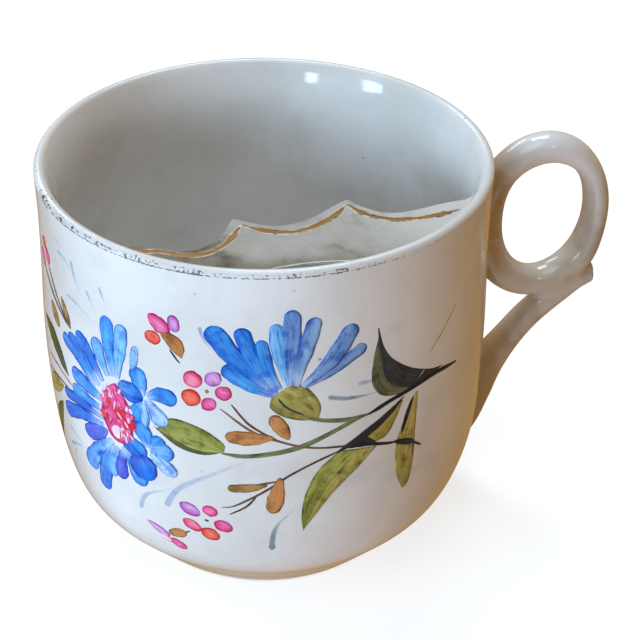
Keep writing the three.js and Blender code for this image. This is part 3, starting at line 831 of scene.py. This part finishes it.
BUDS = [
    ("magenta", "dab", 3.3, (-31.8, 75.2), (-27.6, 71.8)),
    ("orchid", "dab", 2.5, (-27, 76.2), (-26.4, 72.6)),
    ("red", "dab", 3.0, (-32.8, 70.6), (-29.4, 70)),
    ("brown", "leaf", 3.2, (-29.4, 71.8), (-26.6, 70.2), (-25.2, 67.2)),
    ("ink", "line", 0.4, (-27.6, 68.6), (-26.4, 66.9), (-25.6, 66)),
    ("rose", "dab", 3.8, (-24.8, 64), (-21.6, 62)),
    ("orchid", "dab", 3.6, (-20.4, 64.8), (-18.2, 62.6)),
    ("magenta", "dab", 3.2, (-18.9, 61.4), (-15.9, 60.2)),
    ("magenta", "dab", 3.2, (-21.2, 59), (-19.2, 57)),
    ("red", "dab", 3.8, (-25.4, 59.6), (-21.8, 58.2)),
    ("ochre", "dab", 0.9, (-20.9, 60.8), (-20.1, 60.8)),
    ("orchid", "dab", 3.2, (-27, 32.4), (-22.9, 30)),
    ("magenta", "dab", 2.9, (-22.2, 32.4), (-19.3, 31)),
    ("rose", "dab", 2.9, (-26.6, 28), (-22.9, 25.6)),
    ("magenta", "dab", 3.2, (-20, 28.8), (-16.4, 27)),
    ("red", "dab", 3.4, (-22.8, 26.2), (-19.2, 24)),
    ("ink", "dab", 0.6, (-22, 29), (-21.1, 28.8)),
    ("orchid", "bean", 2.2, (-35.4, 24), (-30.4, 21.2)),
    ("blush", "bean", 1.6, (-33, 21.2), (-30, 19.8)),
    ("magenta", "dab", 2.5, (-30.4, 20.6), (-26.8, 18.6)),
    ("brown", "dab", 2.7, (-30.4, 22.4), (-26.2, 24)),
    ("ink", "line", 0.35, (-26.6, 23.8), (-25.4, 24.8)),
]
TOP_FLOWER = [
    ("azure", "petal", 3.6, (-8.3, 60.7), (-13.4, 63.6), (-17.4, 66.8)),
    ("azure", "petal", 4.3, (-7.8, 60.9), (-14.4, 67.6), (-20, 75)),
    ("azure", "petal", 3.4, (-7.6, 61.8), (-11.6, 68.4), (-14.4, 75.2)),
    ("sky", "petal", 2.5, (-7.0, 62), (-9.2, 67), (-10.6, 72.8)),
    ("sky", "petal", 2.9, (-5.6, 62.8), (-7, 69), (-7.8, 76.2)),
    ("slate", "petal", 3.3, (-4.6, 62.8), (-4.8, 70), (-4.8, 79)),
    ("slate", "petal", 3.2, (-4.0, 62.6), (-2.6, 69), (-0.4, 77)),
    ("slate", "petal", 2.6, (-2.4, 62.2), (3.2, 65.4), (9.3, 69.2)),
    ("slate", "petal", 3.6, (-2.8, 62.4), (2.4, 67.2), (7.0, 74.2)),
]
CALYX = [((-8.6, 60.2), (-8.8, 58), (-6.6, 56), (-3.4, 54.9), (-0.8, 54.6)),
         ((-5.6, 62.6), (-3, 62.8), (-0.8, 60.6), (0.6, 57.6), (0.2, 54.8))]
STEMS = [
    ("stem", "line", 1.1, (-18, 47), (-14, 46.7), (-9, 47.3), (-3, 48.7), (2, 50.8), (7, 52.8), (10.4, 53.6)),
    ("stem", "line", 0.95, (-2, 55.2), (2, 54), (6, 53.4), (10.4, 53.4)),
    ("twig", "line", 0.5, (-18, 57.3), (-12, 52.5), (-6.5, 50), (-3, 48.7), (1, 47.8), (5, 47.3), (10, 46.5),
     (16.4, 44.4)),
    ("twig", "line", 0.45, (-16, 58.5), (-13, 54.5), (-9.5, 51.8), (-6.8, 50.2)),
    ("twig", "line", 0.5, (5, 46.6), (0, 44.7), (-5, 42), (-8, 39.5), (-12, 36.5), (-16, 33.8),
     (-18.3, 33.2)),
    ("twig", "line", 0.42, (-11.5, 36.6), (-13.5, 33.9), (-16.8, 31.5)),
    ("twig", "line", 0.42, (-7, 40.6), (-10, 40), (-12.4, 39.4)),
]
BROWN_LEAVES = [
    ("brown", "bean", 3.2, (-8.2, 51.2), (-12, 50.9), (-17.2, 51.2)),
    ("brown", "bean", 3.0, (-5.4, 50.6), (-6.6, 53), (-8.6, 56.2)),
    ("ochre", "bean", 2.1, (-9.4, 39.6), (-13, 38.8), (-17, 38.4)),
    ("brown", "bean", 3.3, (-6.9, 41.4), (-7.6, 37), (-8.4, 32.2)),
]
GREENS = [
    ("leaf", ((-31, 49.6), (-27.6, 53.2), (-21.6, 52.2), (-17.6, 49.4), (-17.4, 47.4)),
     ((-31, 49.6), (-28.4, 48.4), (-25, 46.4), (-20.6, 46.2), (-17.4, 47.4))),
    ("moss", ((-31.6, 50.2), (-27, 48.4), (-22, 46.9), (-17.8, 47.2)),
     ((-31.6, 50.2), (-26.6, 46.8), (-21.6, 46.0), (-17.8, 47.2))),
    ("leaf", ((4.4, 46.4), (0.4, 42.6), (-2, 37), (-2.7, 31), (-2.2, 26.6)),
     ((8.4, 45.8), (5, 41.4), (1.4, 36.4), (-0.8, 31), (-2.2, 26.6))),
    ("olive", ((8.2, 45.9), (4.8, 41.4), (1.2, 36.4), (-0.9, 31.2), (-2.1, 27)),
     ((12.2, 45.2), (8.2, 41), (3.6, 36.2), (0.4, 31.2), (-2.1, 27))),
    ("olive", ((17.2, 54), (12.4, 51), (10, 48.8), (10.2, 46.6)),
     ((17.8, 53.8), (16, 49.6), (14, 46.8), (10.4, 46.2))),
    ("olive", ((21, 54.4), (17.9, 48), (16.7, 43), (17.4, 36), (19.4, 31)),
     ((21.6, 54.2), (21.4, 46), (21.6, 38), (21.2, 33), (20.4, 31))),
    ("dusk", ((12.0, 70.5), (10.9, 65), (10.8, 60), (13.2, 56.6), (18.6, 55.3)),
     ((12.4, 70), (13.2, 64), (14.2, 61), (16.6, 58.2), (19.4, 56.6))),
]
DARKS = [
    ((11.7, 72), (12.1, 67), (12.7, 62.6), (13.8, 59.0), (16.4, 56.7), (20.6, 56.0)),
    ((11.9, 72), (13.2, 67.4), (15.4, 64), (19.8, 60.4), (24.8, 57.9), (28.6, 56.9)),
]
DARK_LINES = [
    ("ink", "line", 1.0, (10, 53.4), (15, 54.9), (20, 55.7), (26, 56.2), (33.4, 55.2)),
    ("ink", "leaf", 1.9, (3.6, 46.0), (9, 48.6), (14, 51.6), (18, 54.6)),
    ("ink", "leaf", 2.2, (5.4, 46.8), (9, 47.2), (12.4, 45.6)),
    ("ink", "line", 0.6, (9, 46.6), (14, 45), (16.6, 44.3)),
    ("ink", "leaf", 1.3, (20.4, 53.8), (19, 49.6), (17.8, 45.2)),
    ("ink", "bean", 1.5, (16.1, 44.6), (21, 42.4)),
    ("ink", "line", 0.5, (20.6, 42.6), (23.4, 40.3)),
    ("ink", "line", 0.7, (-7.4, 60), (-5.6, 57.8), (-2.6, 56)),
    ("ochre", "line", 0.3, (24.2, 61.5), (28, 64.6), (32.4, 68.8)),
    ("mist", "leaf", 1.0, (21.4, 57.2), (23.2, 58.6)),
]
MISTS = [
    ("haze", "dab", 15.0, (-39.6, 40.4), (-41.6, 59.6)),
    ("mist", "comma", 1.8, (-52, 79), (-51, 75.4), (-48.5, 71.5)),
    ("mist", "comma", 1.5, (-57.6, 78), (-54, 77.6), (-52, 75.6)),
    ("mist", "comma", 1.2, (-58, 80.6), (-55.4, 79.4)),
    ("mist", "comma", 1.3, (-47.5, 74.5), (-45, 70.6)),
    ("mist", "comma", 1.2, (-43.6, 77), (-42, 73.6)),
    ("mist", "comma", 1.3, (-54.5, 70), (-50, 69.4), (-45.5, 67.6)),
    ("mist", "comma", 1.3, (-21.8, 75), (-21, 72.2), (-19.4, 70.2)),
    ("mist", "comma", 1.9, (-36.8, 26.6), (-34.6, 31.6), (-29, 35.2)),
    ("mist", "comma", 2.0, (-30.2, 30), (-27, 36), (-20, 41.4), (-12, 46.2)),
    ("cloud", "comma", 2.3, (-8.4, 21), (-8.4, 25), (-7.3, 29), (-4.4, 32.6)),
    ("cloud", "comma", 1.7, (1.6, 59.4), (6, 58.2), (13, 57.8)),
    ("mist", "comma", 1.8, (7.4, 61), (12.4, 60.6)),
    ("mist", "comma", 1.5, (-58.4, 36.4), (-52, 34.8)),
    ("mist", "comma", 1.6, (-59, 31), (-55, 33.4), (-52, 34)),
    ("mist", "comma", 1.4, (-57, 31), (-57.4, 28), (-56.6, 24)),
]
LEFT_SIDE = [
    ("rose", "dab", 3.0, (-68.6, 73), (-66.2, 69.6)),
    ("magenta", "dab", 2.8, (-64.8, 75), (-62.6, 72)),
    ("red", "dab", 2.8, (-66.6, 76.4), (-64.8, 74.6)),
    ("twig", "line", 0.9, (-66, 70), (-60, 65.5), (-53.5, 62.4)),
    ("twig", "line", 0.6, (-63.4, 71.8), (-58.8, 66.6), (-54, 62.8)),
    ("ochre", "leaf", 2.0, (-57, 68), (-53.4, 62.6)),
    ("ochre", "dab", 3.0, (-62.6, 64), (-58.6, 60)),
    ("moss", "leaf", 4.4, (-68.4, 57.4), (-62, 55.4), (-55.4, 50.2)),
    ("twig", "line", 0.5, (-66, 49.6), (-60, 49.6), (-54, 48.6)),
    ("twig", "line", 0.5, (-68, 45), (-61, 46.6), (-55, 47)),
    ("olive", "leaf", 4.4, (-68.6, 39.4), (-64, 43.4), (-58.4, 46)),
    ("moss", "leaf", 3.8, (-66.4, 27.4), (-64.4, 34.6), (-60.2, 41)),
]
# The back has a small sprig of the same flowers.
BACK_MIDDLE = 146.0
BACK_SPRIG = [
    ("azure", "petal", 3.0, (0, 55), (-5, 60), (-8, 66)),
    ("sky", "petal", 3.0, (0.6, 55.6), (-1.4, 62), (-2, 68.4)),
    ("azure", "petal", 3.0, (1.4, 55.6), (2.6, 62), (4.2, 67.6)),
    ("slate", "petal", 2.8, (2.2, 55), (6.2, 59.4), (9.6, 64)),
    ("leaf", "dab", 5.0, (-1.4, 54.6), (3.8, 54.2)),
    ("stem", "line", 1.0, (1.2, 52.6), (2, 46), (5, 40), (11, 35)),
    ("leaf", "leaf", 4.4, (3.4, 43.4), (-3, 42.4), (-8.6, 37.4)),
    ("moss", "leaf", 4.0, (5.6, 39.4), (12, 42), (18, 41.4)),
    ("twig", "line", 0.6, (2.2, 46.4), (7.4, 49.8), (11.4, 50.8)),
    ("brown", "bean", 2.8, (8.6, 50.2), (12.4, 52), (15.4, 54.2)),
    ("magenta", "dab", 2.8, (12.4, 48.8), (15, 47.2)),
    ("orchid", "dab", 2.8, (15.6, 49.8), (17.8, 48.8)),
    ("red", "dab", 2.8, (13.8, 45.8), (16.2, 45)),
    ("mist", "comma", 1.6, (-13, 50), (-9, 46), (-3, 44)),
    ("cloud", "comma", 1.6, (14, 33), (16, 29), (15, 25)),
]


def daisy_centre(paints, middle, spread, lean):
    """The daisy's centre, a leaning oval: two broad marks, then dabs over them, cerise at its top, scarlet in
    its middle and pale at its foot, and a few fine crimson strokes."""
    zones = [("magenta", "cerise", "cerise"), ("scarlet", "cerise", "scarlet", "rose"),
             ("cerise", "cream", "orchid")]
    pale = [("cream", "magenta"), ("cream", "rose"), ("cream",)]
    fine = [("cerise",), ("crimson", "cream"), ("crimson",)]
    # How many dabs, how far out, how wide, how long, and their shades at the top, the middle and the foot.
    plans = [(14, (0.0, 0.75), (2.4, 3.2), (2.2, 3.4), zones),
             (22, (0.1, 0.95), (1.0, 1.7), (1.4, 2.6), zones),
             (22, (0.45, 1.05), (0.35, 0.75), (0.9, 1.9), pale),
             (9, (0.0, 0.9), (0.28, 0.42), (1.2, 2.4), fine)]
    for shade, width, rise in (("magenta", 1.75 * spread[0], 1.0), ("scarlet", 1.2 * spread[0], 0.6)):
        ends = [(middle[0] + lean * side * spread[1], middle[1] + side * spread[1]) for side in (rise, -rise)]
        mark(paints, shade, "bean", width, *ends)
    for count, (near, far), widths, lengths, shades in plans:
        for _ in range(count):
            turn, away = dice.uniform(0, 2 * math.pi), math.sqrt(dice.uniform(near ** 2, far ** 2))
            rise = away * math.sin(turn)
            up = middle[1] + spread[1] * rise
            across = spread[0] * away * math.cos(turn) * (1 - 0.45 * max(rise, 0))
            around = middle[0] + across + lean * (up - middle[1])
            slant, length = dice.uniform(0.9, 2.5), dice.uniform(*lengths) / 2
            over, rising = length * math.cos(slant), length * math.sin(slant)
            shade = dice.choice(shades[0 if rise > 0.35 else 1 if rise > -0.35 else 2])
            mark(paints, shade, "dab", dice.uniform(*widths), (around - over, up - rising),
                 (around + over, up + rising))


# Each family's slot, and its enamel: deepener, streaks, outline and speckle.
ENAMELS = {
    "blue": ("blue_enamel", colour(66, 128, 216), 0.75, 0.85, 0.6),
    "pink": ("pink_enamel", colour(214, 110, 150), 0.5, 0.9, 0.3),
    "brown": ("brown_enamel", colour(112, 88, 78), 0.3, 0.9, 0.35),
    "green": ("green_enamel", colour(142, 142, 108), 0.7, 0.85, 0.8),
    "dark": ("grey_enamel", colour(190, 190, 186), 0.8, 0.3, 0.3),
    "grey": ("grey_enamel", colour(214, 222, 232), 0.3, 0.0, 0.1),
}


def make_painting():
    paints = {family: Paint(on_wall) for family in FAMILIES}
    for entry in MISTS:
        mark(paints, *entry, wash=(0.9, 0.3))
    for entry in LEFT_SIDE:
        mark(paints, *entry)
    for entry in GREENS + [("olive", *CALYX), ("ink", *DARKS)]:
        patch(paints, *entry)
    for entry in STEMS + BROWN_LEAVES + DARK_LINES + BUDS:
        mark(paints, *entry)
    for entry in LEFT_DAISY + UPPER_FLORET + LOWER_FLORET:
        mark(paints, *entry, wash=(0.35, 1.15) if entry[1] == "petal" else (0.85, 1.1))
    for entry in TOP_FLOWER:
        mark(paints, *entry, wash=(0.45, 1.05))
    daisy_centre(paints, (-40.0, 49.6), (4.5, 6.9), -0.04)
    for shade, shape, width, *points in BACK_SPRIG:
        mark(paints, shade, shape, width, *[(BACK_MIDDLE + a, u) for a, u in points])
    for family, (slot, *values) in ENAMELS.items():
        paints[family].deliver(f"painted_{family}_marks", enamel(f"enamel_{family}", *values), slot)


def make_guard_line():
    """The gilt line on the guard, three strokes that cross a little where they meet."""
    line = Paint(on_guard)
    across = np.linspace(-1, 1, 7)[None, :]
    for part in GUARD_LINE:
        points = through(turned(part, GUARD_TURN), 70)
        run = np.linspace(0, 1, len(points))[:, None]
        half = LINE_HALF_WIDTH * np.minimum(1, 0.35 + 4 * np.minimum(run, 1 - run))
        reach = half * (1 + 0.14 * np.sin(run * 17 + points[0, 0])) * across
        grid = points[:, None] + reach[..., None] * sideways_of(points)[:, None]
        edge = np.abs(across) * np.ones_like(run)
        density = 1.25 - 0.35 * edge ** 3 - 0.2 * smooth_step(0.8, 1, run)
        film = np.stack([edge, density, 0.9 + 0.12 * edge], -1)
        line.add(grid[..., 0], grid[..., 1], 0.012 + FILM * (1 - edge ** 2), film=film)
    look = worn_gilt("gilding_guard", 0.16, 760.0)
    line.deliver("guard_gilt_line_worn", look, "gilding", ["guard_gilt_line"])


# ---- stage ----

# The room round the cup: cool and bright on the window's side, warm and dim on the other, darker overhead,
# and with the table's own light from below.
WINDOW_SIDE = (-0.87, -0.48, -0.12)
ROOM_WARM, ROOM_COOL = (0.36, 0.18, 0.04, 1), (0.42, 0.57, 0.79, 1)
TABLE_WARM, TABLE_COOL = (0.44, 0.26, 0.09, 1), (1.65, 1.8, 2.1, 1)
CEILING_DIM = 0.36
WINDOW_TINT, SKY_TINT, LAMP_TINT = (0.57, 0.78, 1.0), (0.72, 0.87, 1.0), (1.0, 0.93, 0.84)

# Each light's name, direction, distance in metres, (width, height), power, tint, and if the glaze mirrors it.
LIGHTS = [
    ("window_wide", (-74, 14), 1.1, (0.2, 0.26), 2.8, WINDOW_TINT, True),
    ("window_narrow", (-39, 15), 1.1, (0.12, 0.2), 1.4, WINDOW_TINT, True),
    ("window_glow", (-53, 14), 1.1, (0.3, 0.3), 3.5, WINDOW_TINT, False),
    ("skylight", (-28, 74), 1.2, (0.7, 0.7), 4.7, SKY_TINT, True),
    ("rear_window", (-165, 36), 1.2, (0.5, 0.3), 3.2, SKY_TINT, True),
    ("ceiling_light", (160, 60), 1.2, (0.5, 0.4), 6.5, SKY_TINT, True),
    ("lamp", (32, 40), 1.2, (0.06, 0.1), 0.35, LAMP_TINT, True),
]
LIT_HEIGHT = 0.05  # the height that the lights face, in metres

FLOOR_HALF = 3.0
FLOOR_LIGHT, FLOOR_DARK, FLOOR_SHINE = (0.43, 0.43, 0.43, 1), (0.4, 0.4, 0.4, 1), (0.97, 0.99, 1.0, 1)
FLOOR_GLOW = 0.74

# The camera looks at the middle of the rim from this direction, then pans right and tilts down. Degrees.
CAMERA_FROM, CAMERA_PAN, CAMERA_TILT = (-12.0, 27.43), 2.09, 6.45
CAMERA_DISTANCE = 297.7
CAMERA_LENS, CAMERA_SENSOR = 84.375, 36.0


def make_floor():
    mesh = bpy.data.meshes.new("studio_floor")
    corners = [(x * FLOOR_HALF, y * FLOOR_HALF, 0) for x, y in ((-1, -1), (1, -1), (1, 1), (-1, 1))]
    mesh.from_pydata(corners, [], [(0, 1, 2, 3)])
    floor = add_object("studio_floor", mesh)
    look = material("studio_floor")
    base = look.blend(look.noise(3.0), FLOOR_DARK, FLOOR_LIGHT)
    floor.data.materials.append(look.finish(Base_Color=base, Roughness=0.9, Specular_IOR_Level=0.1,
                                            Emission_Color=FLOOR_SHINE, Emission_Strength=FLOOR_GLOW))
    floor.visible_glossy = False
    floor.visible_diffuse = False


def away_to(azimuth, elevation):
    """The unit vector that way, in degrees, azimuth 0 on the -Y side and positive towards the handle."""
    turn, rise = math.radians(azimuth), math.radians(elevation)
    return Vector((math.sin(turn) * math.cos(rise), -math.cos(turn) * math.cos(rise), math.sin(rise)))


def make_lights():
    """Area lights, each facing the cup."""
    for name, direction, distance, size, power, tint, mirrored in LIGHTS:
        away = away_to(*direction)
        data = bpy.data.lights.new(name, "AREA")
        data.shape, data.energy, data.color = "RECTANGLE", power, tint
        data.size, data.size_y = size
        light = add_object(name, data)
        light.location = Vector((AXIS_X, 0, LIT_HEIGHT)) + away * distance
        light.rotation_euler = away.to_track_quat("Z", "Y").to_euler()
        light.visible_glossy = mirrored


def make_room():
    world = bpy.data.worlds.new("studio")
    bpy.context.scene.world = world
    look = Look(world, "Generated")
    facing = look.node("VectorMath", {"operation": "DOT_PRODUCT"}, i0=look.place, i1=WINDOW_SIDE)
    toward, height = facing.outputs["Value"], look.split(look.place)[2]
    room = look.blend(look.ramp(toward, 0.28, 0.95, kind="LINEAR"), ROOM_WARM, ROOM_COOL)
    table = look.blend(look.ramp(toward, 0.15, 0.8, kind="LINEAR"), TABLE_WARM, TABLE_COOL)
    whole = look.blend(look.ramp(height, -0.05, -0.6, kind="LINEAR"), room, table)
    dimming = look.ramp(height, 0.0, 0.9, 1.0, CEILING_DIM, kind="LINEAR")
    back = look.node("Background", Color=whole, Strength=dimming)
    look.node("OutputWorld", Surface=back.outputs[0])


def make_camera():
    away = away_to(*CAMERA_FROM)
    aimed = away.to_track_quat("Z", "Y").to_matrix().to_4x4()
    pan = Matrix.Rotation(-math.radians(CAMERA_PAN), 4, "Y")
    tilt = Matrix.Rotation(-math.radians(CAMERA_TILT), 4, "X")
    data = bpy.data.cameras.new("camera")
    data.lens, data.sensor_width = CAMERA_LENS, CAMERA_SENSOR
    data.clip_start = 0.01
    camera = add_object("camera", data)
    rim = Vector((AXIS_X, 0, HEIGHT * MM))
    camera.matrix_world = Matrix.Translation(rim + away * CAMERA_DISTANCE * MM) @ aimed @ pan @ tilt
    bpy.context.scene.camera = camera


bpy.context.scene.view_settings.view_transform = "Standard"
make_camera()
make_room()
make_lights()
make_floor()
make_body()
make_foot()
make_handle()
make_guard()
make_rim_gilding()
make_guard_line()
make_painting()
